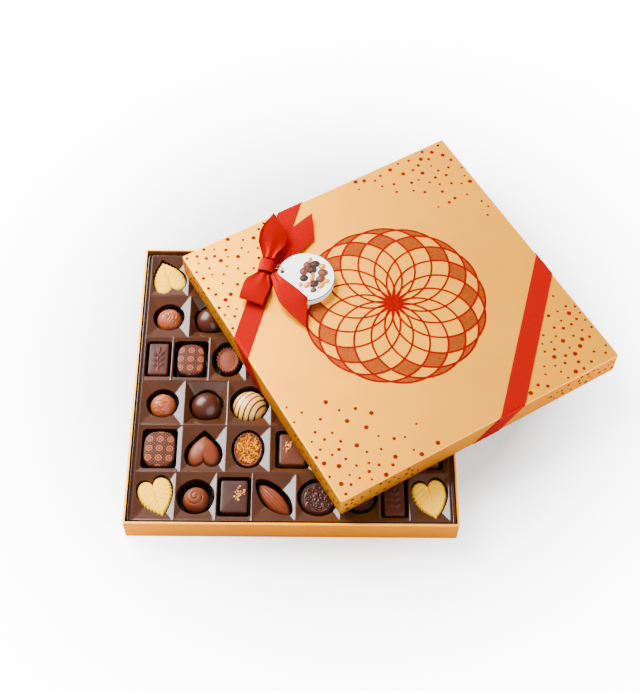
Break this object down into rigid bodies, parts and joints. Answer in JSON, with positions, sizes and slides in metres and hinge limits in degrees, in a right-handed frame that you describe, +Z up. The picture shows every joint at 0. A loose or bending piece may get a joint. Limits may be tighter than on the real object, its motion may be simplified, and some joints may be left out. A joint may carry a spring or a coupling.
{
  "type": "box of chocolate pralines",
  "caption": "Open square gift box of chocolate pralines in a brown pocketed insert, its loose ribbon-tied lid with bow and round tag lying askew on top.",
  "frame": {"origin": "middle of the tray's underside, on the surface that the box rests on", "axes": "+Z up; +X right and +Y back as the tray is seen from its front side"},
  "size_m": [0.4549, 0.4251, 0.0708],
  "materials": {
    "gold_board": "satin gold paper over board",
    "brown_sheet": "glossy thermoformed sheet",
    "red_satin": "satin ribbon",
    "white_card": "coated card",
    "gold_elastic": "metallised elastic thread",
    "ivory_chocolate": "soft sheen",
    "milk_chocolate": "soft sheen",
    "dark_chocolate": "soft sheen"
  },
  "bodies": {
    "root": {"almond_r1c4": "milk_chocolate", "almond_r4c7": "milk_chocolate", "almond_r6c4": "milk_chocolate", "bow_knot": "red_satin", "bow_loop_lower": "red_satin", "bow_loop_upper": "red_satin", "bow_tail_lower": "red_satin", "bow_tail_upper": "red_satin", "crumb_block_r2c4": "milk_chocolate", "crumb_block_r2c7": "milk_chocolate", "dark_ball_r3c2": "dark_chocolate", "dark_ball_r3c6": "dark_chocolate", "dark_ball_r5c2": "dark_chocolate", "dark_ball_r5c6": "dark_chocolate", "floral_disc_r1c5": "dark_chocolate", "floral_disc_r4c5": "dark_chocolate", "floral_disc_r6c5": "dark_chocolate", "fluted_cup_r1c6": "dark_chocolate", "fluted_cup_r4c6": "dark_chocolate", "fluted_cup_r6c6": "dark_chocolate", "heart_r2c2": "milk_chocolate", "heart_r2c6": "milk_chocolate", "heart_r4c8": "milk_chocolate", "heart_r5c4": "milk_chocolate", "insert": "brown_sheet", "ivory_ball_r3c3": "ivory_chocolate", "ivory_ball_r3c5": "ivory_chocolate", "leaf_r1c1": "ivory_chocolate", "leaf_r1c8": "ivory_chocolate", "leaf_r6c1": "ivory_chocolate", "leaf_r6c8": "ivory_chocolate", "lid": "gold_board", "narrow_barrel_r4c2": "milk_chocolate", "nugget_tart_r2c3": "milk_chocolate", "nugget_tart_r2c5": "milk_chocolate", "nugget_tart_r5c3": "milk_chocolate", "nugget_tart_r5c5": "milk_chocolate", "nut_block_r1c3": "dark_chocolate", "nut_block_r6c3": "dark_chocolate", "oval_cup_r4c3": "milk_chocolate", "print_barrel_r2c1": "milk_chocolate", "relief_bar_r1c7": "dark_chocolate", "relief_bar_r4c1": "dark_chocolate", "relief_bar_r6c7": "dark_chocolate", "ribbon_band": "red_satin", "swirl_dome_r1c2": "milk_chocolate", "swirl_dome_r3c4": "milk_chocolate", "swirl_dome_r4c4": "milk_chocolate", "swirl_dome_r6c2": "milk_chocolate", "tag_cover": "white_card", "tag_leaves": "white_card", "tag_thread": "gold_elastic", "tray": "gold_board", "truffle_r3c1": "milk_chocolate", "truffle_r3c7": "milk_chocolate", "truffle_r5c1": "milk_chocolate", "truffle_r5c7": "milk_chocolate"}
  },
  "joints": []
}
